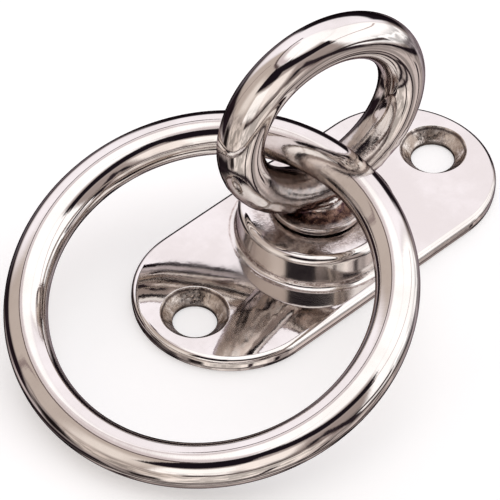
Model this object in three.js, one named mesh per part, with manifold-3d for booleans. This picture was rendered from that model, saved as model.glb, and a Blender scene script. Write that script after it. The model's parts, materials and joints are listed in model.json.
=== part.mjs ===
// A swivelling pad eye with a loose ring. The plate is screwed flat to a deck or bulkhead with two
// countersunk screws, and the eye turns in the boss at its middle.
// Millimetres, +Z away from the deck. The origin is on the swivel axis at the mounting face, and +X
// runs along the plate.

import * as THREE from "three";
import { mergeVertices } from "three/addons/utils/BufferGeometryUtils.js";
import Module from "manifold-3d";

const wasm = await Module();
wasm.setup();

// Base plate
const PLATE_LENGTH = 59;
const PLATE_WIDTH = 26.4;
const PLATE_THICKNESS = 2.2;
const PLATE_EDGE_RADIUS = 0.9;
const SCREW_SPACING = 45.4;
const SCREW_HOLE_RADIUS = 3;
const COUNTERSINK_RADIUS = 4.7;

// Boss, cast in one with the plate
const BOSS_RADIUS = 10.9;
const BOSS_HEIGHT = 5;
const BOSS_RIM_RADIUS = 1.2;
const BOSS_FOOT_RADIUS = 1;
const BOSS_DRAFT = 0.15;

// Swivel eye
const SHANK_RADIUS = 4;
const COLLAR_RADIUS = 6.6;
const COLLAR_THICKNESS = 1.1;
const COLLAR_EDGE_RADIUS = 0.4;
const NECK_RADIUS = 3.3;
const NECK_FILLET = 1.5;
const EYE_RADIUS = 12.8;
const EYE_WIRE_RADIUS = 3.2;
const EYE_CENTRE_HEIGHT = 24.2;
const EYE_YAW = THREE.MathUtils.degToRad(-11);

// Retaining washer, in a recess under the plate, and the shank end that is peened over it
const RECESS_RADIUS = 7.5;
const RECESS_DEPTH = 3;
const WASHER_RADIUS = 6.8;
const WASHER_THICKNESS = 1.2;
const PEEN_RADIUS = 5.6;
const PEEN_FLAT_RADIUS = 4.4;

// Running clearances
const RADIAL_GAP = 0.15;
const AXIAL_GAP = 0.3;

// Ring: its wire crosses the eye's plane a little to one side of the swivel axis, low in the eye,
// and its other side lies on the deck.
const RING_RADIUS = 24.7;
const RING_WIRE_RADIUS = 3;
const RING_SEAT_OFFSET = 1.8;
const RING_SEAT_HEIGHT = 18.3;
const RING_HEADING = THREE.MathUtils.degToRad(193);
const DECK_GAP = 0.05;

// Facets
const ROUND_SEGMENTS = 48;
const HOLE_SEGMENTS = 32;
const EYE_SEGMENTS = 64;
const RING_SEGMENTS = 80;
const WIRE_SEGMENTS = 14;
const ARC_SEGMENTS = 3;

// How far a cutting solid reaches past the face that it cuts
const CUT = 1;

const BOSS_TOP = PLATE_THICKNESS + BOSS_HEIGHT;
const BORE_RADIUS = SHANK_RADIUS + RADIAL_GAP;

const STEEL = { color: 0xd8d2cb, roughness: 0.12, metalness: 1 };
const BARE_STEEL = { color: 0xb9b4ad, roughness: 0.35, metalness: 1 };

// Points of a profile arc, from one angle to another in degrees, both ends included.
function arc(centreRadius, centreHeight, radius, fromDegrees, toDegrees) {
  const points = [];
  for (let i = 0; i <= ARC_SEGMENTS; i++) {
    const degrees = fromDegrees + ((toDegrees - fromDegrees) * i) / ARC_SEGMENTS;
    const angle = THREE.MathUtils.degToRad(degrees);
    points.push([
      centreRadius + radius * Math.cos(angle),
      centreHeight + radius * Math.sin(angle),
    ]);
  }
  return points;
}

// A solid of revolution about the Z axis, from [radius, height] pairs that run upwards.
function turned(profile, segments = ROUND_SEGMENTS) {
  const points = profile.map(([radius, height]) => new THREE.Vector2(radius, height));
  return new THREE.LatheGeometry(points, segments).rotateX(Math.PI / 2);
}

// The closed solid of a geometry, with its coincident vertices merged.
function solidOf(geometry) {
  const bare = geometry.clone();
  bare.deleteAttribute("normal");
  bare.deleteAttribute("uv");
  const merged = mergeVertices(bare, 1e-4);
  return new wasm.Manifold(
    new wasm.Mesh({
      numProp: 3,
      vertProperties: merged.attributes.position.array,
      triVerts: new Uint32Array(merged.index.array),
    }),
  );
}

function geometryOf(solid) {
  const { vertProperties, triVerts } = solid.getMesh();
  const geometry = new THREE.BufferGeometry();
  geometry.setAttribute("position", new THREE.BufferAttribute(vertProperties, 3));
  geometry.setIndex(new THREE.BufferAttribute(triVerts, 1));
  geometry.computeVertexNormals();
  return geometry;
}

function named(name, geometry, finish) {
  const mesh = new THREE.Mesh(geometry, new THREE.MeshStandardMaterial(finish));
  mesh.name = name;
  return mesh;
}

// A stadium: two straight sides and two half-round ends.
function plateOutline() {
  const endRadius = PLATE_WIDTH / 2;
  const endCentre = PLATE_LENGTH / 2 - endRadius;
  const outline = new THREE.Shape();
  outline.absarc(endCentre, 0, endRadius, -Math.PI / 2, Math.PI / 2, false);
  outline.absarc(-endCentre, 0, endRadius, Math.PI / 2, (3 * Math.PI) / 2, false);
  outline.closePath();
  return outline;
}

// The plate's slab. It is extruded with both edges rounded and longer downwards than it needs to be,
// then cut off at the mounting face, so that only the top edge is rounded.
function plateSlab() {
  const slab = new THREE.ExtrudeGeometry(plateOutline(), {
    depth: PLATE_THICKNESS,
    curveSegments: ROUND_SEGMENTS / 2,
    bevelThickness: PLATE_EDGE_RADIUS,
    bevelSize: PLATE_EDGE_RADIUS,
    bevelOffset: -PLATE_EDGE_RADIUS,
    bevelSegments: ARC_SEGMENTS,
  }).translate(0, 0, -PLATE_EDGE_RADIUS);
  const below = new THREE.BoxGeometry(2 * PLATE_LENGTH, 2 * PLATE_WIDTH, PLATE_LENGTH);
  below.translate(0, 0, -PLATE_LENGTH / 2);
  return solidOf(slab).subtract(solidOf(below));
}

// The boss starts inside the plate and leaves it with a small fillet. Its side leans in slightly, and
// its top rim is rounded.
function boss() {
  const footRadius = BOSS_RADIUS + BOSS_FOOT_RADIUS;
  const rimRadius = BOSS_RADIUS - BOSS_DRAFT - BOSS_RIM_RADIUS;
  return solidOf(
    turned([
      [0, PLATE_THICKNESS / 2],
      [footRadius, PLATE_THICKNESS / 2],
      ...arc(footRadius, PLATE_THICKNESS + BOSS_FOOT_RADIUS, BOSS_FOOT_RADIUS, 270, 180),
      ...arc(rimRadius, BOSS_TOP - BOSS_RIM_RADIUS, BOSS_RIM_RADIUS, 0, 90),
      [0, BOSS_TOP],
    ]),
  );
}

// The bore for the shank, and the recess under it for the washer.
function swivelBore() {
  return solidOf(
    turned([
      [0, -CUT],
      [RECESS_RADIUS, -CUT],
      [RECESS_RADIUS, RECESS_DEPTH],
      [BORE_RADIUS, RECESS_DEPTH],
      [BORE_RADIUS, BOSS_TOP + CUT],
      [0, BOSS_TOP + CUT],
    ]),
  );
}

// A through hole whose 90 degree countersink opens at the plate's top face.
function screwHole(x) {
  const countersinkDepth = COUNTERSINK_RADIUS - SCREW_HOLE_RADIUS;
  const hole = turned(
    [
      [0, -CUT],
      [SCREW_HOLE_RADIUS, -CUT],
      [SCREW_HOLE_RADIUS, PLATE_THICKNESS - countersinkDepth],
      [COUNTERSINK_RADIUS + CUT, PLATE_THICKNESS + CUT],
      [0, PLATE_THICKNESS + CUT],
    ],
    HOLE_SEGMENTS,
  );
  return solidOf(hole.translate(x, 0, 0));
}

function basePlate() {
  let casting = plateSlab().add(boss()).subtract(swivelBore());
  for (const side of [-1, 1]) {
    casting = casting.subtract(screwHole((side * SCREW_SPACING) / 2));
  }
  return named("base_plate", geometryOf(casting), STEEL);
}

// The eye's round wire loop stands on a flared neck and a thin collar. The shank below them passes
// through the boss, and its end is peened out under the washer and dressed flush with the plate.
function swivelEye() {
  const collarBottom = BOSS_TOP + AXIAL_GAP;
  const collarTop = collarBottom + COLLAR_THICKNESS;
  const collarEdge = COLLAR_RADIUS - COLLAR_EDGE_RADIUS;
  const peenTop = RECESS_DEPTH - WASHER_THICKNESS - 2 * AXIAL_GAP;
  const stem = turned([
    [0, 0],
    [PEEN_FLAT_RADIUS, 0],
    [PEEN_RADIUS, peenTop / 2],
    [PEEN_RADIUS, peenTop],
    [SHANK_RADIUS, peenTop],
    [SHANK_RADIUS, collarBottom],
    ...arc(collarEdge, collarBottom + COLLAR_EDGE_RADIUS, COLLAR_EDGE_RADIUS, -90, 0),
    ...arc(collarEdge, collarTop - COLLAR_EDGE_RADIUS, COLLAR_EDGE_RADIUS, 0, 90),
    ...arc(NECK_RADIUS + NECK_FILLET, collarTop + NECK_FILLET, NECK_FILLET, 270, 180),
    [0, collarTop + NECK_FILLET],
  ]);
  const loop = new THREE.TorusGeometry(EYE_RADIUS, EYE_WIRE_RADIUS, WIRE_SEGMENTS, EYE_SEGMENTS);
  loop.rotateX(Math.PI / 2).translate(0, 0, EYE_CENTRE_HEIGHT);
  const eye = named("swivel_eye", geometryOf(solidOf(stem).add(solidOf(loop))), STEEL);
  eye.rotation.z = EYE_YAW;
  return eye;
}

function retainingWasher() {
  const top = RECESS_DEPTH - AXIAL_GAP;
  const bottom = top - WASHER_THICKNESS;
  const washer = turned([
    [BORE_RADIUS, bottom],
    [WASHER_RADIUS, bottom],
    [WASHER_RADIUS, top],
    [BORE_RADIUS, top],
    [BORE_RADIUS, bottom],
  ]);
  return named("retaining_washer", washer, BARE_STEEL);
}

// The ring hangs from the point where its wire sits in the eye, and slopes down to the deck.
function looseRing() {
  const slope = Math.asin((RING_SEAT_HEIGHT - RING_WIRE_RADIUS - DECK_GAP) / (2 * RING_RADIUS));
  const seat = new THREE.Group();
  seat.position.set(
    -RING_SEAT_OFFSET * Math.cos(EYE_YAW),
    -RING_SEAT_OFFSET * Math.sin(EYE_YAW),
    RING_SEAT_HEIGHT,
  );
  seat.rotation.set(0, slope, RING_HEADING, "ZYX");
  const hoop = new THREE.TorusGeometry(
    RING_RADIUS,
    RING_WIRE_RADIUS,
    WIRE_SEGMENTS,
    RING_SEGMENTS,
  );
  const ring = named("ring", hoop, STEEL);
  ring.position.x = RING_RADIUS;
  seat.add(ring);
  return seat;
}

const padEye = new THREE.Group();
padEye.add(basePlate(), swivelEye(), retainingWasher(), looseRing());

export default padEye;
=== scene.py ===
import json
import math
from collections import namedtuple

import bpy
import numpy as np
from mathutils import Matrix, Vector
from mathutils.geometry import delaunay_2d_cdt


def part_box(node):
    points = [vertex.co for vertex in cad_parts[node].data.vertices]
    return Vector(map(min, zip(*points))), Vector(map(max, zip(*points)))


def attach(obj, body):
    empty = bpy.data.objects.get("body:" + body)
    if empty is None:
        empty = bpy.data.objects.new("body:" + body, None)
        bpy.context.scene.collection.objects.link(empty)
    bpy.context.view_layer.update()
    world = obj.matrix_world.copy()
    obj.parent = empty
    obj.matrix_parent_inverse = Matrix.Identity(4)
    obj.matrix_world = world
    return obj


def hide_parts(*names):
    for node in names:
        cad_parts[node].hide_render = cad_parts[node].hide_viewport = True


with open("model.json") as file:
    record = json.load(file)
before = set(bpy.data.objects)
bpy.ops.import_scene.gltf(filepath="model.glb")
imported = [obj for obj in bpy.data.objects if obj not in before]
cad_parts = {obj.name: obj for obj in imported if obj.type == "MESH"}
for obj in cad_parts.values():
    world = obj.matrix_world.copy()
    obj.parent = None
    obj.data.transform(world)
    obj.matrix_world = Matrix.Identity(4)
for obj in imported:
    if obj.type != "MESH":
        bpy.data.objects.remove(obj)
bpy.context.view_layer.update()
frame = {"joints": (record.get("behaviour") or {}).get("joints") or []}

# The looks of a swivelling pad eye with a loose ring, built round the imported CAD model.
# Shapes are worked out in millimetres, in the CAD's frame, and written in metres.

MM = 0.001
TINY = 1e-9
WELDS_PER_MM = 1e4

# Base plate. From the mounting face up, its side has a small foot radius, a soft belly and a
# rounded top edge. Here and below, a border is how far a swept edge reaches into the flat face
# beside it.
PLATE_THICKNESS = 2.2
PLATE_FOOT_INSET = 0.12
PLATE_FOOT_RADIUS = 0.2
PLATE_BELLY_HEIGHT = 0.75
PLATE_BELLY_RADIUS = 1.6
PLATE_HEAD_INSET = 0.06
PLATE_EDGE_RADIUS = 0.9
PLATE_TOP_BORDER = 1.1
PLATE_BOTTOM_BORDER = 0.5

# How the plate's top sags: a crown that drops near the outline, and the slow waves that polishing
# leaves. A wave is (height, radians per millimetre along X and along Y, phase). The sag sets in
# between the SAG_GROWS levels, and is gone again between the SAG_ENDS levels, so that the boss
# above the plate keeps its shape.
PLATE_CROWN_DROP = 0.05
PLATE_CROWN_WIDTH = 3.6
PLATE_WAVES = (
    (0.008, 0.43, 0.21, 0.6),
    (0.006, 0.24, -0.52, 2.1),
    (0.004, 0.71, 0.37, 4.0),
)
SAG_GROWS = (0.4, 2.0)
SAG_ENDS = (2.25, 3.1)

# The triangular grid of points that lets the plate's top sag. No grid point is nearer to an edge
# than a share of the grid's spacing.
PLATE_GRID = 0.8
GRID_MARGIN = 0.35
SLIVER_AREA = 1e-6

# Screw holes
SCREW_X = 22.7
SCREW_HOLE_RADIUS = 3.0
SCREW_HOLE_EDGE_RADIUS = 0.12
SCREW_HOLE_BORDER = 0.3
COUNTERSINK_RADIUS = 4.7
COUNTERSINK_LIP_RADIUS = 0.14
COUNTERSINK_FOOT_RADIUS = 0.2
COUNTERSINK_BORDER = 0.2
CAST_SKIN_INSET = 0.03

# Boss and what is cut in it
BOSS_BASE_RADIUS = 10.95
BOSS_TOP_RADIUS = 10.69
BOSS_TOP = 7.2
BOSS_FILLET = 1.0
BOSS_RIM_FILLET = 1.2
BOSS_BORDER = 1.05
BORE_RADIUS = 4.15
BORE_TOP_EDGE_RADIUS = 0.35
BORE_END_EDGE_RADIUS = 0.15
RECESS_RADIUS = 7.5
RECESS_DEPTH = 3.0
RECESS_CORNER_RADIUS = 0.3
RECESS_EDGE_RADIUS = 0.2
RECESS_BORDER = 0.4

# Swivel eye. Up to EYE_GROUND_TOP, just under the collar, it is ground and not polished.
SHANK_RADIUS = 4.0
COLLAR_RADIUS = 6.6
COLLAR_BOTTOM = 7.5
COLLAR_TOP = 8.6
COLLAR_EDGE_RADIUS = 0.4
NECK_FILLET = 1.5
NECK_RADIUS = 3.3
NECK_BLEND = 0.5
EYE_RADIUS = 12.8
EYE_WIRE_RADIUS = 3.2
EYE_CENTRE_HEIGHT = 24.2
EYE_YAW = math.radians(-11)
PEEN_RADIUS = 5.6
PEEN_HEIGHT = 1.2
PEEN_EDGE_RADIUS = 0.5
EYE_GROUND_TOP = 7.45

# Casting lumps low on the eye's outside. They grow between two distances from the eye's centre,
# and fade out between two levels.
LUMP_HEIGHT = 0.05
LUMP_GROWS = (12.3, 14.3)
LUMP_FADES = (14.0, 20.0)

# The net that the eye's surface is caught in. The shift keeps its points off the eye's own
# round and flat faces.
EYE_CELL = 0.2
EYE_GRID_SHIFT = (0.071, 0.113, 0.053)
EYE_PROJECTIONS = 4

# Retaining washer. Its lower edges were rounded by the punch. Its profile starts at a seam on its
# underside.
WASHER_RADIUS = 6.8
WASHER_HOLE_RADIUS = 4.2
WASHER_SEAM_RADIUS = 5.15
WASHER_BOTTOM = 1.5
WASHER_TOP = 2.7
WASHER_PUNCHED_EDGE = 0.25
WASHER_TOP_EDGE = 0.12

# Ring. The seat is the point where the middle of its wire crosses the eye.
RING_RADIUS = 24.7
RING_WIRE_RADIUS = 3.0
RING_DECK_GAP = 0.05
RING_SEAT = (-1.77, 0.34, 18.3)
WIRE_UV = "wire"

# The wires are this much thinner than the CAD's, which are faceted, so that they stay in its box.
WIRE_SHRINK = 0.04

# Segments round each turned surface, round the ring, and round its wire
SWIVEL_SEGMENTS = 128
SCREW_SEGMENTS = 80
WASHER_SEGMENTS = 96
RING_SEGMENTS = 288
WIRE_SEGMENTS = 64

# Camera
CAMERA_AZIMUTH = -46.39
CAMERA_ELEVATION = 46.03
CAMERA_ROLL = -2.62
CAMERA_DISTANCE = 0.6
CAMERA_AIM = (-7.044, 5.577, -1.209)
CAMERA_LENS = 317.1
SENSOR_WIDTH = 36.0

# Floor, in metres
FLOOR_HALF_SIZE = 1.5
FLOOR_LEVEL = -0.00002
FLOOR_GREY = (0.76, 0.76, 0.76, 1.0)
FLOOR_LIFT = 0.40

# The studio, as soft-edged panels on a sphere round the object, later ones over earlier ones. The
# azimuth and elevation are of a panel's middle: azimuth 0 is behind the object as the camera sees
# it, and positive to the right. The rise is the slope of the elevation along the azimuth. Angles
# are in degrees.
Panel = namedtuple("Panel", "azimuth elevation half_width half_height rise softness colour")
STUDIO_BASE = (0.46, 0.39, 0.37)
STUDIO_PANELS = {
    "ceiling": (0, 90, 181, 30, 0, 6, (1.34, 1.33, 1.34)),
    "back_panel": (-8, 35, 56, 29, 0, 8, (1.17, 1.12, 1.18)),
    "right_softbox": (82, 22, 34, 40, 0, 4, (1.36, 1.34, 1.35)),
    "right_screen": (134, 14, 18, 15, 0, 5, (0.40, 0.33, 0.31)),
    "screen_post": (144, 4, 3.5, 9, 0, 2.5, (0.02, 0.015, 0.02)),
    "left_wall": (-105, 29, 47, 31, 0, 8, (0.62, 0.53, 0.48)),
    "wall_glow": (-128, 24, 15, 18, 0, 9, (0.98, 0.89, 0.83)),
    "wall_seam": (-86, 24, 1.2, 24, 0, 1.5, (0.30, 0.23, 0.22)),
    "left_haze": (-105, 65, 62, 4, 0, 4, (0.78, 0.68, 0.70)),
    "left_rail": (-86, 57, 56, 2.0, -0.03, 1.3, (0.13, 0.09, 0.09)),
    "front_window": (-166, 11, 17, 15, 0, 3, (1.32, 1.27, 1.24)),
    "front_wall": (167, 14, 13, 17, 0, 4, (1.15, 1.05, 1.0)),
    "dark_bar_right": (148, 46, 36, 9.5, 0.16, 2, (0.012, 0.008, 0.012)),
    "dark_bar": (-160, 45, 22, 15, -0.1, 2.5, (0.012, 0.008, 0.012)),
    "bar_tail": (84, 30, 31, 1.2, 0.28, 1.0, (0.62, 0.50, 0.48)),
    "dark_horizon": (-25, -15, 63, 15, 0, 4, (0.02, 0.012, 0.016)),
    "dark_back": (8, 3, 30, 15, 0, 4, (0.015, 0.01, 0.014)),
    "back_haze": (-32, -14, 14, 10, 0, 6, (0.26, 0.23, 0.26)),
    "back_right_haze": (52, -20, 24, 5, 0, 3, (0.36, 0.32, 0.34)),
    "low_right_screen": (137, -11, 15, 9, 0, 5, (0.26, 0.20, 0.19)),
    "low_right": (98, -41, 58, 10, 0, 4, (0.76, 0.66, 0.63)),
    "low_front": (172, -32, 40, 21, 0, 6, (1.08, 0.98, 0.92)),
    "low_front_left": (-136, -16, 26, 12, 0, 6, (0.76, 0.66, 0.60)),
    "low_right_line": (108, -8, 16, 4.2, 0, 1.6, (0.08, 0.06, 0.06)),
    "front_rail": (172, -10, 26, 2.4, 0.05, 1.6, (0.10, 0.07, 0.07)),
    "table_edge": (84, -26, 26, 2.8, 0.03, 1.3, (0.02, 0.013, 0.018)),
    "slanted_leg": (126, -6, 16, 6.5, 1.27, 2.5, (0.03, 0.02, 0.025)),
    "right_leg": (84, -46, 3.6, 11, 0, 1.6, (0.04, 0.03, 0.035)),
    "middle_leg": (120, -46, 3.4, 13, 0, 1.6, (0.03, 0.02, 0.025)),
    "front_leg": (153, -44, 3.2, 13, 0, 1.8, (0.05, 0.035, 0.04)),
    "dark_left": (-101, -24, 9, 12, 0, 5, (0.02, 0.015, 0.015)),
    "left_patch": (-72, -34, 18, 6, 0, 4, (0.80, 0.70, 0.70)),
    "dark_low_left": (-85, -50, 34, 8, 0, 4, (0.018, 0.012, 0.015)),
    "dark_spot": (-145, -43, 9, 7, 0, 4, (0.04, 0.03, 0.03)),
    "dark_floor": (0, -46, 44, 20, 0, 8, (0.015, 0.01, 0.014)),
    "back_floor_haze": (34, -34, 26, 15, 0, 5, (0.66, 0.60, 0.63)),
    "stripe_a": (180, -53, 150, 1.8, 0, 1.3, (0.03, 0.02, 0.025)),
    "stripe_b": (180, -62, 160, 2.4, 0, 1.6, (0.02, 0.015, 0.02)),
    "light_stripe": (180, -68, 181, 2.2, 0, 1.6, (0.95, 0.86, 0.82)),
    "stripe_c": (180, -73, 181, 2.0, 0, 1.3, (0.03, 0.02, 0.025)),
    "light_floor": (180, -84, 181, 8, 0, 3, (0.75, 0.66, 0.62)),
}
STUDIO_WARP = 0.12
CLUTTER_LEVELS = (-6, 12)
CLUTTER_SHADES = (0.5, 1.1)
BACKGROUND = (0.96, 0.96, 0.96, 1.0)


# Mesh building


class Patchwork:
    """Surface patches with exact normals, joined where their points meet."""

    def __init__(self):
        self.points = []
        self.normals = []
        self.faces = []
        self.finishes = []
        self.count = 0

    def add(self, points, normals, faces, finish=0):
        self.points.append(np.asarray(points, float))
        self.normals.append(np.asarray(normals, float))
        self.faces += [tuple(int(v) + self.count for v in face) for face in faces]
        self.finishes += [finish] * len(faces)
        self.count += len(points)

    def welded(self):
        points = np.concatenate(self.points)
        normals = np.concatenate(self.normals)
        keys = np.round(points * WELDS_PER_MM).astype(np.int64)
        _, first, number = np.unique(keys, axis=0, return_index=True, return_inverse=True)
        number = number.reshape(-1)
        faces = [tuple(number[v] for v in face) for face in self.faces]
        return points[first], normals[first], faces


def smoothstep(low, high, value):
    share = np.clip((value - low) / (high - low), 0, 1)
    return share * share * (3 - 2 * share)


def heading(start, end):
    """The unit direction from one place to another."""
    return (end - start) / np.linalg.norm(end - start)


def rounded_corner(corner, came, leaves, radius, step_degrees):
    """Places and directions along the arc that rounds a corner."""
    turn = math.atan2(came[0] * leaves[1] - came[1] * leaves[0], came @ leaves)
    side = math.copysign(1, turn)
    start = corner - came * radius * math.tan(abs(turn) / 2)
    centre = start + side * radius * np.array([-came[1], came[0]])
    steps = max(2, math.ceil(math.degrees(abs(turn)) / step_degrees))
    for step in range(steps + 1):
        angle = turn * step / steps
        cosine, sine = math.cos(angle), math.sin(angle)
        direction = np.array([
            came[0] * cosine - came[1] * sine,
            came[0] * sine + came[1] * cosine,
        ])
        normal = np.array([direction[1], -direction[0]])
        yield centre + side * radius * normal, direction


def rounded_profile(corners, step_degrees=9):
    """Rows of offset, height and normal along a line whose corners are rounded.

    Each corner is (offset, height, radius). The normal is on the right of the line's direction."""
    places = [np.array(corner[:2], float) for corner in corners]
    line = [(places[0], heading(places[0], places[1]))]
    for index in range(1, len(corners) - 1):
        came = heading(places[index - 1], places[index])
        leaves = heading(places[index], places[index + 1])
        line += rounded_corner(places[index], came, leaves, corners[index][2], step_degrees)
    line.append((places[-1], heading(places[-2], places[-1])))
    return [(place[0], place[1], direction[1], -direction[0]) for place, direction in line]


def circle_loop(centre_x, segments):
    """A loop maker: points at an offset from a vertical axis, with their outward directions."""
    angles = np.linspace(0, 2 * math.pi, segments, endpoint=False)
    outward = np.stack([np.cos(angles), np.sin(angles)], 1)
    return lambda offset: (outward * offset + [centre_x, 0], outward)


def stadium_loop(half_length, half_width, end_segments=48, side_segments=40):
    """A loop maker: points at an offset from a stadium's outline, negative inwards."""
    end_centre = half_length - half_width
    around = np.linspace(-math.pi / 2, math.pi / 2, end_segments + 1)
    end = np.stack([np.cos(around), np.sin(around)], 1)
    along = np.linspace(end_centre, -end_centre, side_segments + 1)[1:-1]
    centres = np.concatenate([
        np.tile([end_centre, 0.0], (len(end), 1)),
        np.stack([along, 0 * along], 1),
        np.tile([-end_centre, 0.0], (len(end), 1)),
        np.stack([-along, 0 * along], 1),
    ])
    outward = np.concatenate([
        end,
        np.tile([0.0, 1.0], (len(along), 1)),
        -end,
        np.tile([0.0, -1.0], (len(along), 1)),
    ])
    return lambda offset: (centres + outward * (half_width + offset), outward)


def sweep(loop, profile, closed=False):
    """The surface that a profile leaves when it is carried round a loop."""
    points, normals = [], []
    for offset, height, outward_part, upward_part in profile:
        places, outward = loop(offset)
        count = len(places)
        points.append(np.column_stack([places, np.full(count, height)]))
        normals.append(np.column_stack([outward * outward_part, np.full(count, upward_part)]))
    rows = len(profile)
    faces = []
    for row in range(rows if closed else rows - 1):
        here, above = row * count, (row + 1) % rows * count
        for place in range(count):
            following = (place + 1) % count
            faces.append((here + place, here + following, above + following, above + place))
    return np.concatenate(points), np.concatenate(normals), faces


def split_at(profile, offset):
    """A profile's rows up to the first one that is within an offset, and from that one on."""
    turn = next(index for index, row in enumerate(profile) if row[0] <= offset)
    return profile[: turn + 1], profile[turn:]


def make_object(name, points, normals, faces, finishes, materials):
    """A smooth closed mesh, in metres, with the given normals."""
    mesh = bpy.data.meshes.new(name)
    mesh.from_pydata(points * MM, [], faces)
    mesh.polygons.foreach_set("material_index", np.asarray(finishes, np.int32))
    mesh.shade_smooth()
    lengths = np.linalg.norm(normals, axis=1, keepdims=True)
    mesh.normals_split_custom_set_from_vertices(normals / lengths)
    for material in materials:
        mesh.materials.append(material)
    made = bpy.data.objects.new(name, mesh)
    bpy.context.scene.collection.objects.link(made)
    return made


# Node building. Lengths in a material are in millimetres.

# The sockets of a colour mix
MIX_FACTOR, MIX_FIRST, MIX_SECOND, MIX_RESULT = 0, 6, 7, 2


def add(tree, kind, inputs=None, **settings):
    """A new node. An input is a value, or the socket that it comes from."""
    made = tree.nodes.new(kind)
    for key, value in settings.items():
        setattr(made, key, value)
    for key, value in (inputs or {}).items():
        if isinstance(value, bpy.types.NodeSocket):
            tree.links.new(value, made.inputs[key])
        else:
            made.inputs[key].default_value = value
    return made


def maths(tree, operation, *values):
    return add(tree, "ShaderNodeMath", dict(enumerate(values)), operation=operation).outputs[0]


def vector_maths(tree, operation, inputs):
    return add(tree, "ShaderNodeVectorMath", inputs, operation=operation).outputs


def mixed_colour(tree, factor, first, second):
    inputs = {MIX_FACTOR: factor, MIX_FIRST: first, MIX_SECOND: second}
    return add(tree, "ShaderNodeMix", inputs, data_type="RGBA").outputs[MIX_RESULT]


def millimetres(tree, stretch=(1.0, 1.0, 1.0)):
    """The object's own coordinates in millimetres, stretched."""
    place = add(tree, "ShaderNodeTexCoord").outputs["Object"]
    scale = [part / MM for part in stretch]
    return add(tree, "ShaderNodeMapping", {"Vector": place, "Scale": scale}).outputs["Vector"]


def noise(tree, place, per_mm, detail=2.0, roughness=0.5):
    inputs = {"Vector": place, "Scale": per_mm, "Detail": detail, "Roughness": roughness}
    return add(tree, "ShaderNodeTexNoise", inputs).outputs["Fac"]


def ranged(tree, value, span, result=(0.0, 1.0)):
    """A value carried smoothly from one span to another, and held at the ends."""
    inputs = {
        "Value": value,
        "From Min": span[0],
        "From Max": span[1],
        "To Min": result[0],
        "To Max": result[1],
    }
    return add(tree, "ShaderNodeMapRange", inputs, interpolation_type="SMOOTHSTEP").outputs[0]


def band(tree, value, low, high, soft):
    """1 where the value lies between two limits, with soft ends."""
    risen = ranged(tree, value, (low - soft, low + soft))
    fallen = ranged(tree, value, (high - soft, high + soft), (1.0, 0.0))
    return maths(tree, "MULTIPLY", risen, fallen)


def bump(tree, height, depth, below=None):
    inputs = {"Height": height, "Distance": depth * MM, "Strength": 1.0}
    if below is not None:
        inputs["Normal"] = below
    return add(tree, "ShaderNodeBump", inputs).outputs["Normal"]


def height_and_radius(tree):
    """The object's own height, and the distance from the swivel axis."""
    parts = add(tree, "ShaderNodeSeparateXYZ", {0: millimetres(tree)}).outputs
    flat = add(tree, "ShaderNodeCombineXYZ", {0: parts[0], 1: parts[1]}).outputs[0]
    return parts[2], vector_maths(tree, "LENGTH", {0: flat})["Value"]


def distance_from(tree, point):
    return vector_maths(tree, "DISTANCE", {0: millimetres(tree), 1: point})["Value"]


def metal(name, edge_tint):
    """A material with an all-metal shader, and its tree and shader."""
    made = bpy.data.materials.new(name)
    made.use_nodes = True
    tree = made.node_tree
    shader = next(n for n in tree.nodes if n.type == "BSDF_PRINCIPLED")
    shader.inputs["Metallic"].default_value = 1.0
    shader.inputs["Specular Tint"].default_value = (*edge_tint, 1.0)
    return made, tree, shader


def finish_with(tree, shader, colour, roughness, normal):
    tree.links.new(colour, shader.inputs["Base Color"])
    tree.links.new(roughness, shader.inputs["Roughness"])
    tree.links.new(normal, shader.inputs["Normal"])


# Stains, wear and painted shade, as shares from 0 to 1

# Spans of a noise's value: where most of its values lie, and where nearly all do
NOISE_MIDDLE = (0.35, 0.65)
NOISE_WHOLE = (0.3, 0.7)

# Where the stains, the wear and the painted shade start and stop. Radii are from the swivel
# axis, levels are heights.
WEAR_DISTANCES = (8.0, 17.0)
WEAR_LEVELS = (18.0, 20.5)
SKIN_DISTANCES = (14.2, 15.2)
SKIN_LEVELS = (19.0, 24.0)
NECK_SHADE_HEIGHT = 1.15
NECK_SHADE_RADII = (5.6, 6.9)
COMPOUND_RADII = (8.2, 9.9)
CORNER_LEVELS = (1.9, 3.5)
# The two corner lines are painted shade at the boss's foot.
CORNER_UPPER_LINE = (10.93, 11.12)
CORNER_LOWER_LINE = (11.72, 11.95)
DULL_START_RADII = (10.2, 10.5)
DULL_END_RADII = (11.5, 15.5)
LIP_SHADE_LEVELS = (1.95, 2.2)
HOLE_SHADE_LEVELS = (0.42, 0.72)


def contact_wear(tree):
    """Where the ring and the eye rub on each other: patchy, and strongest low down."""
    patches = noise(tree, millimetres(tree), per_mm=0.5, detail=4.0, roughness=0.6)
    patch_reach = 7.0
    away = maths(tree, "MULTIPLY_ADD", patches, patch_reach, distance_from(tree, RING_SEAT))
    near = ranged(tree, away, WEAR_DISTANCES, (0.5, 0.0))
    height, _ = height_and_radius(tree)
    return maths(tree, "MULTIPLY", near, ranged(tree, height, WEAR_LEVELS, (1.0, 0.1)))


def outer_skin(tree):
    """The outside of the eye low down, where some of the cast skin is left."""
    patches = noise(tree, millimetres(tree), per_mm=0.6, detail=4.0, roughness=0.6)
    patch_reach = 6.0
    away = distance_from(tree, (0, 0, EYE_CENTRE_HEIGHT))
    outer = ranged(tree, away, SKIN_DISTANCES)
    height, _ = height_and_radius(tree)
    ragged = maths(tree, "MULTIPLY_ADD", patches, patch_reach, height)
    return maths(tree, "MULTIPLY", outer, ranged(tree, ragged, SKIN_LEVELS, (0.45, 0.0)))


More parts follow.
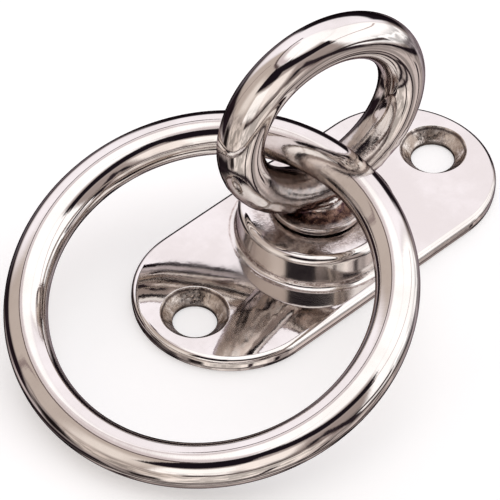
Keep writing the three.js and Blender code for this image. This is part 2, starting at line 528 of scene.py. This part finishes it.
def neck_shade(tree):
    """The collar's top and the foot of the neck, under the eye's loop: painted shade, mottled from
    near black to brown.
    """
    height, radius = height_and_radius(tree)
    ragged_edge = 0.9
    wander = noise(tree, millimetres(tree), per_mm=0.9, detail=3.0)
    edge = maths(tree, "MULTIPLY", wander, ragged_edge)
    shade_top = COLLAR_TOP + NECK_SHADE_HEIGHT
    # Painted shade: a band from the collar's top up the foot of the neck, inside the collar's rim.
    level = band(tree, maths(tree, "ADD", height, edge), COLLAR_TOP, shade_top, soft=0.2)
    inner = ranged(tree, maths(tree, "ADD", radius, edge), NECK_SHADE_RADII, (1.0, 0.0))
    return maths(tree, "MULTIPLY", level, inner)


def eye_stain_and_shade(tree):
    patchy_share = maths(tree, "MAXIMUM", contact_wear(tree), outer_skin(tree))
    # The neck's share is painted shade. The other two shares are contact wear and cast skin.
    return maths(tree, "MAXIMUM", neck_shade(tree), patchy_share)


def boss_stain_and_corner_shade(tree):
    """Polishing compound left on the boss's top round the collar, and painted shade in the corner
    at its foot.

    In the corner the painted shade lies in two dark lines, where the fillet meets the boss and
    where it meets the plate."""
    height, radius = height_and_radius(tree)
    on_top = band(tree, height, BOSS_TOP - 0.15, BOSS_TOP + 1, soft=0.1)
    top = maths(tree, "MULTIPLY", on_top, ranged(tree, radius, COMPOUND_RADII, (0.65, 0.0)))
    low = band(tree, height, *CORNER_LEVELS, soft=0.1)
    upper_line = band(tree, radius, *CORNER_UPPER_LINE, soft=0.08)
    lower_line = band(tree, radius, *CORNER_LOWER_LINE, soft=0.12)
    # The corner lines are painted shade. The top's share is polishing compound.
    corner = maths(tree, "MULTIPLY", low, maths(tree, "MAXIMUM", upper_line, lower_line))
    patches = noise(tree, millimetres(tree), per_mm=0.45, detail=4.0, roughness=0.6)
    patchy_share = ranged(tree, patches, (0.3, 0.6), (0.35, 1.0))
    return maths(tree, "MULTIPLY", maths(tree, "MAXIMUM", top, corner), patchy_share)


def boss_dulling(tree):
    """The boss's side and the plate round its foot, which the polishing wheel reaches less well."""
    _, radius = height_and_radius(tree)
    near = ranged(tree, radius, DULL_START_RADII)
    return maths(tree, "MULTIPLY", near, ranged(tree, radius, DULL_END_RADII, (1.0, 0.0)))


# Materials


def polishing_lines(tree, coordinates, stretch):
    """The fine lines that polishing leaves, along the ring's wire or across the object."""
    if coordinates == WIRE_UV:
        along = add(tree, "ShaderNodeUVMap", uv_map=WIRE_UV).outputs[0]
        place = add(tree, "ShaderNodeMapping", {"Vector": along, "Scale": stretch}).outputs[0]
    else:
        place = millimetres(tree, stretch)
    return noise(tree, place, per_mm=1.0, detail=3.0, roughness=0.7)


def polished_steel(name, tones, wave_length, grain, stain_and_shade, stain_and_shade_tones, dulling=None):
    """Mirror-polished stainless steel: faint smudges, hairline scratches and a slight waviness.

    The grain is (coordinates, stretch, depth) of the fine lines that polishing leaves. The stain
    and shade, and the dulling, are functions that give their shares. The stain and shade holds real
    stains and wear, and painted shade on the eye's neck and in the boss's foot corner."""
    made, tree, shader = metal(name, edge_tint=(0.3, 0.25, 0.27))
    place = millimetres(tree)
    smudges = noise(tree, place, per_mm=0.11, detail=5.0, roughness=0.6)
    colour = mixed_colour(tree, ranged(tree, smudges, NOISE_MIDDLE), *tones)
    coordinates, stretch, depth = grain
    hairlines = polishing_lines(tree, coordinates, stretch)

    haze = ranged(tree, smudges, NOISE_WHOLE, (0.03, 0.07))
    scratched = ranged(tree, hairlines, (0.62, 0.72), (0.0, 0.05))
    roughness = maths(tree, "ADD", haze, scratched)
    if dulling:
        dulled = 0.09
        roughness = maths(tree, "MULTIPLY_ADD", dulling(tree), dulled, roughness)

    waves = noise(tree, place, per_mm=1 / wave_length, detail=1.0, roughness=0.4)
    peel = noise(tree, place, per_mm=0.8, detail=2.0, roughness=0.6)
    normal = bump(tree, waves, depth=0.03)
    normal = bump(tree, peel, depth=0.004, below=normal)
    normal = bump(tree, hairlines, depth, below=normal)

    # Real stains and wear, and painted shade where the share gives it, darken the colour here.
    share = stain_and_shade(tree)
    mottle = noise(tree, place, per_mm=1.3, detail=4.0, roughness=0.65)
    grime_and_shade = mixed_colour(tree, ranged(tree, mottle, NOISE_MIDDLE), *stain_and_shade_tones)
    colour = mixed_colour(tree, share, colour, grime_and_shade)
    normal = bump(tree, maths(tree, "MULTIPLY", mottle, share), depth=0.07, below=normal)
    stain_and_shade_roughness = ranged(tree, mottle, NOISE_WHOLE, (0.16, 0.34))
    rougher = maths(tree, "SUBTRACT", stain_and_shade_roughness, roughness)
    roughness = maths(tree, "MULTIPLY_ADD", rougher, share, roughness)
    finish_with(tree, shader, colour, roughness, normal)
    return made


def polished_casting():
    return polished_steel(
        "polished_casting",
        tones=((0.82, 0.785, 0.76, 1.0), (0.74, 0.70, 0.67, 1.0)),
        wave_length=7.0,
        grain=("object", (0.25, 4.0, 4.0), 0.0003),
        stain_and_shade=boss_stain_and_corner_shade,
        # These tones colour the compound on the boss's top, and paint the shade lines in its foot
        # corner.
        stain_and_shade_tones=((0.36, 0.28, 0.25, 1.0), (0.72, 0.64, 0.60, 1.0)),
        dulling=boss_dulling,
    )


def polished_eye():
    return polished_steel(
        "polished_eye",
        tones=((0.82, 0.785, 0.76, 1.0), (0.74, 0.70, 0.67, 1.0)),
        wave_length=7.0,
        grain=("object", (2.0, 2.0, 2.0), 0.0008),
        stain_and_shade=eye_stain_and_shade,
        # The darker tone paints the shade at the neck, and darkens the contact wear and the cast
        # skin.
        stain_and_shade_tones=((0.05, 0.025, 0.03, 1.0), (0.29, 0.18, 0.14, 1.0)),
    )


def polished_wire():
    return polished_steel(
        "polished_wire",
        tones=((0.83, 0.795, 0.77, 1.0), (0.76, 0.72, 0.69, 1.0)),
        wave_length=9.0,
        grain=(WIRE_UV, (2.6, 0.22, 1.0), 0.0022),
        stain_and_shade=contact_wear,
        stain_and_shade_tones=((0.34, 0.26, 0.21, 1.0), (0.74, 0.66, 0.60, 1.0)),
    )


def cast_skin_and_hole_shade():
    """The skin inside the countersinks, which the polishing wheel doesn't reach.

    Painted shade darkens it in a ragged line below the lip, and more deeply down in the hole."""
    made, tree, shader = metal("cast_skin_and_hole_shade", edge_tint=(0.6, 0.55, 0.55))
    place = millimetres(tree)
    lumps = noise(tree, place, per_mm=0.7, detail=2.5, roughness=0.5)
    pits = noise(tree, place, per_mm=2.6, detail=2.0, roughness=0.5)
    stained = ranged(tree, lumps, NOISE_MIDDLE)
    colour = mixed_colour(tree, stained, (0.42, 0.35, 0.30, 1.0), (0.76, 0.70, 0.65, 1.0))
    height, _ = height_and_radius(tree)
    ragged = maths(tree, "MULTIPLY_ADD", lumps, 0.3, height)
    # Painted shade: a ragged near-black line just below the lip.
    lip_shade = maths(tree, "MULTIPLY", band(tree, ragged, *LIP_SHADE_LEVELS, soft=0.07), 0.8)
    colour = mixed_colour(tree, lip_shade, colour, (0.05, 0.03, 0.03, 1.0))
    # Painted shade: near black at the bottom of the hole, fading out upwards.
    hole_shade = ranged(tree, height, HOLE_SHADE_LEVELS, (0.85, 0.0))
    colour = mixed_colour(tree, hole_shade, colour, (0.03, 0.02, 0.02, 1.0))
    normal = bump(tree, pits, depth=0.03, below=bump(tree, lumps, depth=0.22))
    finish_with(tree, shader, colour, ranged(tree, pits, NOISE_WHOLE, (0.2, 0.36)), normal)
    return made


def ground_steel():
    """The underside and the bores: left as ground, with straight grinding marks along the plate."""
    made, tree, shader = metal("ground_steel", edge_tint=(0.7, 0.68, 0.66))
    along = millimetres(tree, stretch=(0.12, 9.0, 2.0))
    marks = noise(tree, along, per_mm=1.0, detail=4.0, roughness=0.65)
    patches = noise(tree, millimetres(tree), per_mm=0.16, detail=3.0, roughness=0.5)
    tone = ranged(tree, patches, NOISE_WHOLE)
    colour = mixed_colour(tree, tone, (0.60, 0.57, 0.55, 1.0), (0.72, 0.69, 0.66, 1.0))
    roughness = ranged(tree, marks, NOISE_WHOLE, (0.26, 0.44))
    finish_with(tree, shader, colour, roughness, bump(tree, marks, depth=0.006))
    return made


def washer_steel():
    """Pressed steel, with rolling marks and a few dull patches."""
    made, tree, shader = metal("washer_steel", edge_tint=(0.7, 0.68, 0.66))
    along = millimetres(tree, stretch=(6.0, 0.3, 1.0))
    rolled = noise(tree, along, per_mm=1.0, detail=3.0, roughness=0.6)
    patches = noise(tree, millimetres(tree), per_mm=0.35, detail=4.0, roughness=0.6)
    tone = ranged(tree, patches, NOISE_MIDDLE)
    colour = mixed_colour(tree, tone, (0.52, 0.49, 0.46, 1.0), (0.64, 0.61, 0.58, 1.0))
    roughness = ranged(tree, patches, NOISE_WHOLE, (0.30, 0.42))
    finish_with(tree, shader, colour, roughness, bump(tree, rolled, depth=0.008))
    return made


# Base plate

# The plate's materials, in the order of its material slots
POLISHED, CAST_SKIN_AND_SHADE, GROUND = 0, 1, 2


def plate_half_sizes():
    """The plate's half length and half width, from the CAD node's box."""
    _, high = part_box("base_plate")
    return high.x / MM, high.y / MM


def inset_from_outline(x, y):
    """How far inside the plate's outline a point is."""
    half_length, half_width = plate_half_sizes()
    beyond = np.maximum(np.abs(x) - (half_length - half_width), 0)
    return half_width - np.hypot(beyond, y)


def plate_sag(points):
    """How far the plate's top lies under a true plane: a soft crown, and the polishing's waves."""
    x, y, z = points.T
    from_edge = np.clip(inset_from_outline(x, y) / PLATE_CROWN_WIDTH, 0, 1)
    crown = PLATE_CROWN_DROP * (1 - from_edge) ** 2
    waves = sum(
        height * np.sin(along * x + across * y + phase)
        for height, along, across, phase in PLATE_WAVES
    )
    return (crown + waves) * (smoothstep(*SAG_GROWS, z) * (1 - smoothstep(*SAG_ENDS, z)))


def sagged(points, normals):
    """Points and normals of the plate after its top has been lowered by plate_sag."""
    reach = 0.01
    slopes = []
    for axis in range(3):
        shift = np.zeros(3)
        shift[axis] = reach
        slopes.append((plate_sag(points + shift) - plate_sag(points - shift)) / (2 * reach))
    slopes = np.stack(slopes, 1)
    lowered = points.copy()
    lowered[:, 2] -= plate_sag(points)
    turned = normals + slopes * (normals[:, 2] / (1 - slopes[:, 2]))[:, None]
    return lowered, turned


def triangular_grid(spacing):
    """Points of a triangular grid over the plate's whole box."""
    half_length, half_width = plate_half_sizes()
    rows = []
    for row, y in enumerate(np.arange(-half_width, half_width, spacing * math.sqrt(3) / 2)):
        x = np.arange(-half_length, half_length, spacing) + row % 2 * spacing / 2
        rows.append(np.stack([x, np.full(len(x), y)], 1))
    return np.concatenate(rows)


def ring_edges(rings):
    """The closed edges of rings of points that are numbered one ring after another."""
    edges, start = [], 0
    for ring in rings:
        count = len(ring)
        edges += [(start + here, start + (here + 1) % count) for here in range(count)]
        start += count
    return edges


def triangulated(plan, edges):
    """The plan's points and counterclockwise triangles, in a net that keeps the given edges."""
    net = delaunay_2d_cdt([Vector(place) for place in plan], edges, [], 0, TINY)
    places = np.array([tuple(place) for place in net[0]])
    triangles = np.array([face for face in net[2] if len(face) == 3])
    corners = places[triangles]
    first, second = corners[:, 1] - corners[:, 0], corners[:, 2] - corners[:, 0]
    areas = first[:, 0] * second[:, 1] - first[:, 1] * second[:, 0]
    triangles[areas < 0] = triangles[areas < 0][:, ::-1]
    return places, triangles[np.abs(areas) > SLIVER_AREA]


def flat_region(outline, holes, height, upwards, grid=None):
    """Triangles between the plate's outline and round holes, all at one height.

    The outline is (loop maker, offset), and a hole is (loop maker, offset, centre x). A grid of
    points is added where the region will sag."""
    outline_loop, outline_offset = outline

    def within(places, margin):
        x, y = places.T
        inside = inset_from_outline(x, y) > -outline_offset + margin
        for _, offset, centre_x in holes:
            inside &= np.hypot(x - centre_x, y) > offset + margin
        return inside

    rings = [outline_loop(outline_offset)[0]] + [loop(offset)[0] for loop, offset, _ in holes]
    plan = np.concatenate(rings)
    if grid:
        between = triangular_grid(grid)
        plan = np.concatenate([plan, between[within(between, GRID_MARGIN * grid)]])
    places, triangles = triangulated(plan, ring_edges(rings))
    triangles = triangles[within(places[triangles].mean(1), 0.0)]
    if not upwards:
        triangles = triangles[:, ::-1]
    used = np.unique(triangles)
    renumbered = np.zeros(len(places), int)
    renumbered[used] = np.arange(len(used))
    points = np.column_stack([places[used], np.full(len(used), height)])
    normals = np.tile([0.0, 0.0, 1.0 if upwards else -1.0], (len(used), 1))
    return points, normals, renumbered[triangles].tolist()


def plate_edge_profile():
    """The plate's side, from its underside to its top. Offsets are from the outline."""
    return rounded_profile([
        (-PLATE_BOTTOM_BORDER, 0, 0),
        (-PLATE_FOOT_INSET, 0, PLATE_FOOT_RADIUS),
        (0, PLATE_BELLY_HEIGHT, PLATE_BELLY_RADIUS),
        (-PLATE_HEAD_INSET, PLATE_THICKNESS, PLATE_EDGE_RADIUS),
        (-PLATE_TOP_BORDER, PLATE_THICKNESS, 0),
    ])


def boss_profile():
    """From the plate's top over the boss, then down through the bore and the washer's recess."""
    return rounded_profile([
        (BOSS_BASE_RADIUS + BOSS_BORDER, PLATE_THICKNESS, 0),
        (BOSS_BASE_RADIUS, PLATE_THICKNESS, BOSS_FILLET),
        (BOSS_TOP_RADIUS, BOSS_TOP, BOSS_RIM_FILLET),
        (BORE_RADIUS, BOSS_TOP, BORE_TOP_EDGE_RADIUS),
        (BORE_RADIUS, RECESS_DEPTH, BORE_END_EDGE_RADIUS),
        (RECESS_RADIUS, RECESS_DEPTH, RECESS_CORNER_RADIUS),
        (RECESS_RADIUS, 0, RECESS_EDGE_RADIUS),
        (RECESS_RADIUS + RECESS_BORDER, 0, 0),
    ])


def screw_hole_profile():
    """A 90 degree countersink at the plate's top, and the hole below it."""
    cone_foot = PLATE_THICKNESS - (COUNTERSINK_RADIUS - SCREW_HOLE_RADIUS)
    return rounded_profile([
        (COUNTERSINK_RADIUS + COUNTERSINK_BORDER, PLATE_THICKNESS, 0),
        (COUNTERSINK_RADIUS, PLATE_THICKNESS, COUNTERSINK_LIP_RADIUS),
        (SCREW_HOLE_RADIUS, cone_foot, COUNTERSINK_FOOT_RADIUS),
        (SCREW_HOLE_RADIUS, 0, SCREW_HOLE_EDGE_RADIUS),
        (SCREW_HOLE_RADIUS + SCREW_HOLE_BORDER, 0, 0),
    ])


def base_plate(materials):
    outline = stadium_loop(*plate_half_sizes())
    edge = plate_edge_profile()
    swivel = circle_loop(0, SWIVEL_SEGMENTS)
    boss = boss_profile()
    outside, inside = split_at(boss, BORE_RADIUS + TINY)
    made = Patchwork()
    made.add(*sweep(outline, edge), POLISHED)
    made.add(*sweep(swivel, outside), POLISHED)
    made.add(*sweep(swivel, inside), GROUND)
    screw_hole = screw_hole_profile()
    lip, cone_and_hole = split_at(screw_hole, COUNTERSINK_RADIUS - CAST_SKIN_INSET)
    holes_above = [(swivel, boss[0][0], 0.0)]
    holes_below = [(swivel, boss[-1][0], 0.0)]
    for centre_x in (-SCREW_X, SCREW_X):
        screw = circle_loop(centre_x, SCREW_SEGMENTS)
        made.add(*sweep(screw, lip), POLISHED)
        made.add(*sweep(screw, cone_and_hole), CAST_SKIN_AND_SHADE)
        holes_above.append((screw, screw_hole[0][0], centre_x))
        holes_below.append((screw, screw_hole[-1][0], centre_x))
    top = flat_region((outline, edge[-1][0]), holes_above, PLATE_THICKNESS, True, PLATE_GRID)
    bottom = flat_region((outline, edge[0][0]), holes_below, 0.0, False)
    made.add(*top, POLISHED)
    made.add(*bottom, GROUND)
    points, normals, faces = made.welded()
    points, normals = sagged(points, normals)
    name = "base_plate_casting"
    piece = make_object(name, points, normals, faces, made.finishes, materials)
    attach(piece, "base")
    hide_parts("base_plate")


# Swivel eye


def smooth_min(first, second, reach):
    share = np.clip(0.5 + 0.5 * (second - first) / reach, 0, 1)
    return second + (first - second) * share - reach * share * (1 - share)


def rounded_disc(rho, z, radius, bottom, top, edge):
    """Distance from a disc about the Z axis with rounded edges."""
    outward = rho - (radius - edge)
    upward = np.abs(z - (bottom + top) / 2) - ((top - bottom) / 2 - edge)
    outside = np.hypot(np.maximum(outward, 0), np.maximum(upward, 0))
    return outside + np.minimum(np.maximum(outward, upward), 0) - edge


def casting_lumps(x, y, z):
    """The slight lumps that are left low on the eye's outside, where the polishing is less.

    They are sine waves, whose rates are in radians per millimetre."""
    coarse = np.sin(2.3 * x + 1.1 * z + 0.4) * np.sin(2.0 * y - 1.6 * z + 1.9)
    middling = 0.6 * np.sin(3.4 * y + 0.9 * x + 2.2 * z)
    fine = 0.3 * np.sin(5.1 * y - 2.3 * x + 1.0) * np.sin(4.3 * x + 3.1 * z)
    outer = smoothstep(*LUMP_GROWS, np.hypot(x, z - EYE_CENTRE_HEIGHT))
    low = 1 - smoothstep(*LUMP_FADES, z)
    return LUMP_HEIGHT * (coarse + middling + fine) * outer * low


def eye_distance(x, y, z):
    """Distance from the swivel eye's surface, negative inside. X runs across the eye's loop."""
    rho = np.hypot(x, y)
    loop = np.hypot(np.hypot(x, z - EYE_CENTRE_HEIGHT) - EYE_RADIUS, y)
    loop -= EYE_WIRE_RADIUS - WIRE_SHRINK + casting_lumps(x, y, z)
    shank = np.maximum.reduce([rho - SHANK_RADIUS, z - COLLAR_TOP, PEEN_HEIGHT / 2 - z])
    collar = rounded_disc(rho, z, COLLAR_RADIUS, COLLAR_BOTTOM, COLLAR_TOP, COLLAR_EDGE_RADIUS)
    neck_rho, neck_top = NECK_RADIUS + NECK_FILLET, COLLAR_TOP + NECK_FILLET
    flare = np.maximum.reduce([
        NECK_FILLET - np.hypot(rho - neck_rho, z - neck_top),
        rho - neck_rho,
        z - neck_top,
        (COLLAR_BOTTOM + COLLAR_TOP) / 2 - z,
    ])
    peen = rounded_disc(rho, z, PEEN_RADIUS, 0, PEEN_HEIGHT, PEEN_EDGE_RADIUS)
    stem = np.minimum.reduce([shank, collar, flare, peen])
    return smooth_min(stem, loop, NECK_BLEND)


def slope_of(distance, points):
    reach = 0.02
    parts = []
    for axis in range(3):
        shift = np.zeros(3)
        shift[axis] = reach
        ahead, behind = (points + shift).T, (points - shift).T
        parts.append((distance(*ahead) - distance(*behind)) / (2 * reach))
    return np.stack(parts, 1)


def net_points(field, low, cell):
    """A point in each cell that the surface passes through, and the cells' numbers.

    The point is the mean of the places where the cell's edges cross the surface."""
    shape = np.array(field.shape) - 1
    total = np.zeros((*shape, 3))
    crossings = np.zeros(shape)
    corners = [(i, j, k) for i in (0, 1) for j in (0, 1) for k in (0, 1)]

    def at_corner(corner):
        return field[tuple(slice(start, start + size) for start, size in zip(corner, shape))]

    for axis in range(3):
        for corner in corners:
            if corner[axis]:
                continue
            onward = tuple(part + (n == axis) for n, part in enumerate(corner))
            near, far = at_corner(corner), at_corner(onward)
            crossed = (near < 0) != (far < 0)
            share = np.where(crossed, near / np.where(crossed, near - far, 1), 0)
            for n in range(3):
                total[..., n] += crossed * (corner[n] + (share if n == axis else 0))
            crossings += crossed
    active = crossings > 0
    number = np.full(shape, -1)
    number[active] = np.arange(active.sum())
    means = total[active] / crossings[active][:, None]
    return low + (np.argwhere(active) + means) * cell, number


def net_quads(inside, number, axis):
    """A quad round each grid edge along an axis that crosses the surface, facing outwards."""
    second, third = (axis + 1) % 3, (axis + 2) % 3
    starts = np.argwhere(inside != np.roll(inside, -1, axis))
    whole = (starts[:, axis] < number.shape[axis]) & (starts[:, second] > 0)
    starts = starts[whole & (starts[:, third] > 0)]
    quads = []
    for back_second, back_third in ((1, 1), (0, 1), (0, 0), (1, 0)):
        place = starts.copy()
        place[:, second] -= back_second
        place[:, third] -= back_third
        quads.append(number[tuple(place.T)])
    quads = np.stack(quads, 1)
    outward = inside[tuple(starts.T)]
    quads[~outward] = quads[~outward][:, ::-1]
    return quads


def surface_net(distance, low, high, cell):
    """Points and quads on a distance function's zero surface, by the surface nets method."""
    axes = [np.arange(a, b + cell, cell) for a, b in zip(low, high)]
    field = distance(*np.meshgrid(*axes, indexing="ij"))
    points, number = net_points(field, low, cell)
    return points, np.concatenate([net_quads(field < 0, number, axis) for axis in range(3)])


def projected(distance, points):
    """Points moved along the distance's slope onto its zero surface."""
    least_steepness = 0.25
    slope = slope_of(distance, points)
    steepness = np.maximum((slope ** 2).sum(1), least_steepness)
    return points - slope * (distance(*points.T) / steepness)[:, None]


def swivel_eye(materials):
    reach = EYE_RADIUS + EYE_WIRE_RADIUS + 2 * EYE_CELL
    half_depth = COLLAR_RADIUS + 2 * EYE_CELL
    low = np.array((-reach, -half_depth, -2 * EYE_CELL)) - EYE_GRID_SHIFT
    high = (reach, half_depth, EYE_CENTRE_HEIGHT + reach)
    points, faces = surface_net(eye_distance, low, high, EYE_CELL)
    for _ in range(EYE_PROJECTIONS):
        points = projected(eye_distance, points)
    normals = slope_of(eye_distance, points)
    turn = np.array(Matrix.Rotation(EYE_YAW, 3, "Z"))
    points, normals = points @ turn.T, normals @ turn.T
    ground = points[faces].mean(1)[:, 2] < EYE_GROUND_TOP
    name = "swivel_eye_casting"
    piece = make_object(name, points, normals, faces.tolist(), ground, materials)
    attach(piece, "swivel")
    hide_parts("swivel_eye")


# Retaining washer


def retaining_washer(material):
    profile = rounded_profile([
        (WASHER_SEAM_RADIUS, WASHER_BOTTOM, 0),
        (WASHER_RADIUS, WASHER_BOTTOM, WASHER_PUNCHED_EDGE),
        (WASHER_RADIUS, WASHER_TOP, WASHER_TOP_EDGE),
        (WASHER_HOLE_RADIUS, WASHER_TOP, WASHER_TOP_EDGE),
        (WASHER_HOLE_RADIUS, WASHER_BOTTOM, WASHER_PUNCHED_EDGE),
        (WASHER_SEAM_RADIUS, WASHER_BOTTOM, 0),
    ])
    made = Patchwork()
    made.add(*sweep(circle_loop(0, WASHER_SEGMENTS), profile[:-1], closed=True))
    points, normals, faces = made.welded()
    piece = make_object("pressed_washer", points, normals, faces, made.finishes, [material])
    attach(piece, "swivel")
    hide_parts("retaining_washer")


# Ring


def ring_frame():
    """The ring's centre and axes, from its joint: it hangs from the seat and slopes to the deck."""
    swing = next(joint for joint in frame["joints"] if joint["name"] == "ring_swing")
    seat = np.array(swing["pos_m"]) / MM
    level = np.array(swing["axis"], float)
    drop = seat[2] - RING_WIRE_RADIUS - RING_DECK_GAP
    slope = math.asin(drop / (2 * RING_RADIUS))
    away = np.cross([0, 0, 1], level)
    downhill = math.cos(slope) * away - math.sin(slope) * np.array([0, 0, 1])
    return seat + RING_RADIUS * downhill, downhill, level


def ring_places():
    """The number of each of the ring's points: round the ring, and round its wire."""
    numbers = np.meshgrid(range(RING_SEGMENTS), range(WIRE_SEGMENTS), indexing="ij")
    return [number.ravel() for number in numbers]


def ring_faces():
    i, j = ring_places()
    next_i, next_j = (i + 1) % RING_SEGMENTS, (j + 1) % WIRE_SEGMENTS
    corners = ((i, j), (next_i, j), (next_i, next_j), (i, next_j))
    return np.stack([around * WIRE_SEGMENTS + across for around, across in corners], 1)


def unroll_wire(piece):
    """Gives each corner of each face its place along the wire and round it, in millimetres."""
    i, j = (number[:, None] for number in ring_places())
    u = (i + np.array([0, 1, 1, 0])) / RING_SEGMENTS * 2 * math.pi * RING_RADIUS
    v = (j + np.array([0, 0, 1, 1])) / WIRE_SEGMENTS * 2 * math.pi * RING_WIRE_RADIUS
    layer = piece.data.uv_layers.new(name=WIRE_UV)
    layer.data.foreach_set("uv", np.stack([u, v], -1).ravel())


def ring(material):
    centre, downhill, level = ring_frame()
    upright = np.cross(downhill, level)
    i, j = ring_places()
    around = math.pi + i * 2 * math.pi / RING_SEGMENTS
    across = math.pi + j * 2 * math.pi / WIRE_SEGMENTS
    outward = np.cos(around)[:, None] * downhill + np.sin(around)[:, None] * level
    normals = np.cos(across)[:, None] * outward + np.sin(across)[:, None] * upright
    points = centre + RING_RADIUS * outward + (RING_WIRE_RADIUS - WIRE_SHRINK) * normals
    faces = ring_faces().tolist()
    piece = make_object("ring_wire", points, normals, faces, [0] * len(faces), [material])
    unroll_wire(piece)
    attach(piece, "ring")
    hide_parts("ring")


# Stage


def camera_axes():
    azimuth, elevation = math.radians(CAMERA_AZIMUTH), math.radians(CAMERA_ELEVATION)
    roll = math.radians(CAMERA_ROLL)
    back = Vector((
        math.sin(azimuth) * math.cos(elevation),
        -math.cos(azimuth) * math.cos(elevation),
        math.sin(elevation),
    ))
    right = Vector((math.cos(azimuth), math.sin(azimuth), 0))
    up = back.cross(right)
    return back, math.sin(roll) * right + math.cos(roll) * up


def add_camera():
    back, up = camera_axes()
    place = back * CAMERA_DISTANCE
    z_axis = (place - Vector(CAMERA_AIM) * MM).normalized()
    x_axis = up.cross(z_axis).normalized()
    y_axis = z_axis.cross(x_axis)
    data = bpy.data.cameras.new("camera")
    data.lens = CAMERA_LENS
    data.sensor_width = SENSOR_WIDTH
    data.clip_start = 0.01
    data.clip_end = 20.0
    camera = bpy.data.objects.new("camera", data)
    turn = Matrix((x_axis, y_axis, z_axis)).transposed()
    camera.matrix_world = Matrix.Translation(place) @ turn.to_4x4()
    bpy.context.scene.collection.objects.link(camera)
    bpy.context.scene.camera = camera


def floor_material():
    """Matt and pale from above, and clear from below."""
    made = bpy.data.materials.new("pale_floor")
    made.use_nodes = True
    tree = made.node_tree
    tree.nodes.clear()
    matt = add(tree, "ShaderNodeBsdfDiffuse", {"Color": FLOOR_GREY}).outputs[0]
    lift = add(tree, "ShaderNodeEmission", {"Color": (1, 1, 1, 1), "Strength": FLOOR_LIFT})
    lit = add(tree, "ShaderNodeAddShader", {0: matt, 1: lift.outputs[0]}).outputs[0]
    clear = add(tree, "ShaderNodeBsdfTransparent").outputs[0]
    behind = add(tree, "ShaderNodeNewGeometry").outputs["Backfacing"]
    shown = add(tree, "ShaderNodeMixShader", {0: behind, 1: lit, 2: clear}).outputs[0]
    add(tree, "ShaderNodeOutputMaterial", {"Surface": shown})
    return made


def add_floor():
    """A plain pale floor. The metal doesn't mirror it."""
    mesh = bpy.data.meshes.new("floor")
    signs = ((-1, -1), (1, -1), (1, 1), (-1, 1))
    corners = [(x * FLOOR_HALF_SIZE, y * FLOOR_HALF_SIZE, FLOOR_LEVEL) for x, y in signs]
    mesh.from_pydata(corners, [], [(0, 1, 2, 3)])
    mesh.materials.append(floor_material())
    floor = bpy.data.objects.new("floor", mesh)
    bpy.context.scene.collection.objects.link(floor)
    floor.visible_glossy = False


def studio_direction(tree):
    """The direction of a ray, slightly warped, and turned so that Y runs away from the camera."""
    direction = add(tree, "ShaderNodeTexCoord").outputs["Generated"]
    ripple = add(tree, "ShaderNodeTexNoise", {"Vector": direction, "Scale": 1.7, "Detail": 2.0})
    inputs = {0: ripple.outputs["Color"], 1: (0.5, 0.5, 0.5)}
    centred = vector_maths(tree, "SUBTRACT", inputs)[0]
    shift = vector_maths(tree, "SCALE", {0: centred, "Scale": STUDIO_WARP})[0]
    inputs = {
        "Vector": vector_maths(tree, "ADD", {0: direction, 1: shift})[0],
        "Angle": -math.radians(CAMERA_AZIMUTH),
    }
    turned = add(tree, "ShaderNodeVectorRotate", inputs, rotation_type="Z_AXIS").outputs[0]
    return vector_maths(tree, "NORMALIZE", {0: turned})[0]


def panel_share(tree, azimuth, elevation, panel):
    """1 inside a panel, 0 outside it, with soft edges."""
    aside = maths(tree, "SUBTRACT", azimuth, panel.azimuth)
    aside = maths(tree, "WRAP", aside, 180.0, -180.0)
    above = maths(tree, "SUBTRACT", elevation, panel.elevation)
    if panel.rise:
        above = maths(tree, "SUBTRACT", above, maths(tree, "MULTIPLY", aside, panel.rise))
    shares = []
    for distance, half_size in ((aside, panel.half_width), (above, panel.half_height)):
        span = (half_size - panel.softness, half_size + panel.softness)
        shares.append(ranged(tree, maths(tree, "ABSOLUTE", distance), span, (1.0, 0.0)))
    return maths(tree, "MULTIPLY", *shares)


def cluttered(tree, colour, direction, elevation):
    """A colour with the uneven light and shade of a room's lower half laid over it."""
    clutter = add(tree, "ShaderNodeTexNoise", {
        "Vector": direction,
        "Scale": 5.0,
        "Detail": 3.0,
        "Roughness": 0.6,
        "Distortion": 0.6,
    }).outputs["Fac"]
    shade = ranged(tree, clutter, (0.38, 0.62), CLUTTER_SHADES)
    shaded = vector_maths(tree, "SCALE", {0: colour, "Scale": shade})[0]
    low = ranged(tree, elevation, CLUTTER_LEVELS, (1.0, 0.0))
    return mixed_colour(tree, low, colour, shaded)


def add_studio():
    """The world: its panels light the object and show in it. The camera sees a plain pale grey."""
    world = bpy.data.worlds.new("studio")
    bpy.context.scene.world = world
    world.use_nodes = True
    tree = world.node_tree
    tree.nodes.clear()
    direction = studio_direction(tree)
    parts = add(tree, "ShaderNodeSeparateXYZ", {0: direction}).outputs
    azimuth = maths(tree, "DEGREES", maths(tree, "ARCTAN2", parts[0], parts[1]))
    elevation = maths(tree, "DEGREES", maths(tree, "ARCSINE", parts[2]))
    colour = (*STUDIO_BASE, 1.0)
    for row in STUDIO_PANELS.values():
        panel = Panel(*row)
        share = panel_share(tree, azimuth, elevation, panel)
        colour = mixed_colour(tree, share, colour, (*panel.colour, 1.0))
    colour = cluttered(tree, colour, direction, elevation)
    seen = add(tree, "ShaderNodeLightPath").outputs["Is Camera Ray"]
    shown = mixed_colour(tree, seen, colour, BACKGROUND)
    light = add(tree, "ShaderNodeBackground", {"Color": shown, "Strength": 1.0}).outputs[0]
    add(tree, "ShaderNodeOutputWorld", {"Surface": light})


ground = ground_steel()
base_plate([polished_casting(), cast_skin_and_hole_shade(), ground])
swivel_eye([polished_eye(), ground])
retaining_washer(washer_steel())
ring(polished_wire())
add_floor()
add_camera()
add_studio()
bpy.context.scene.view_settings.view_transform = "Standard"
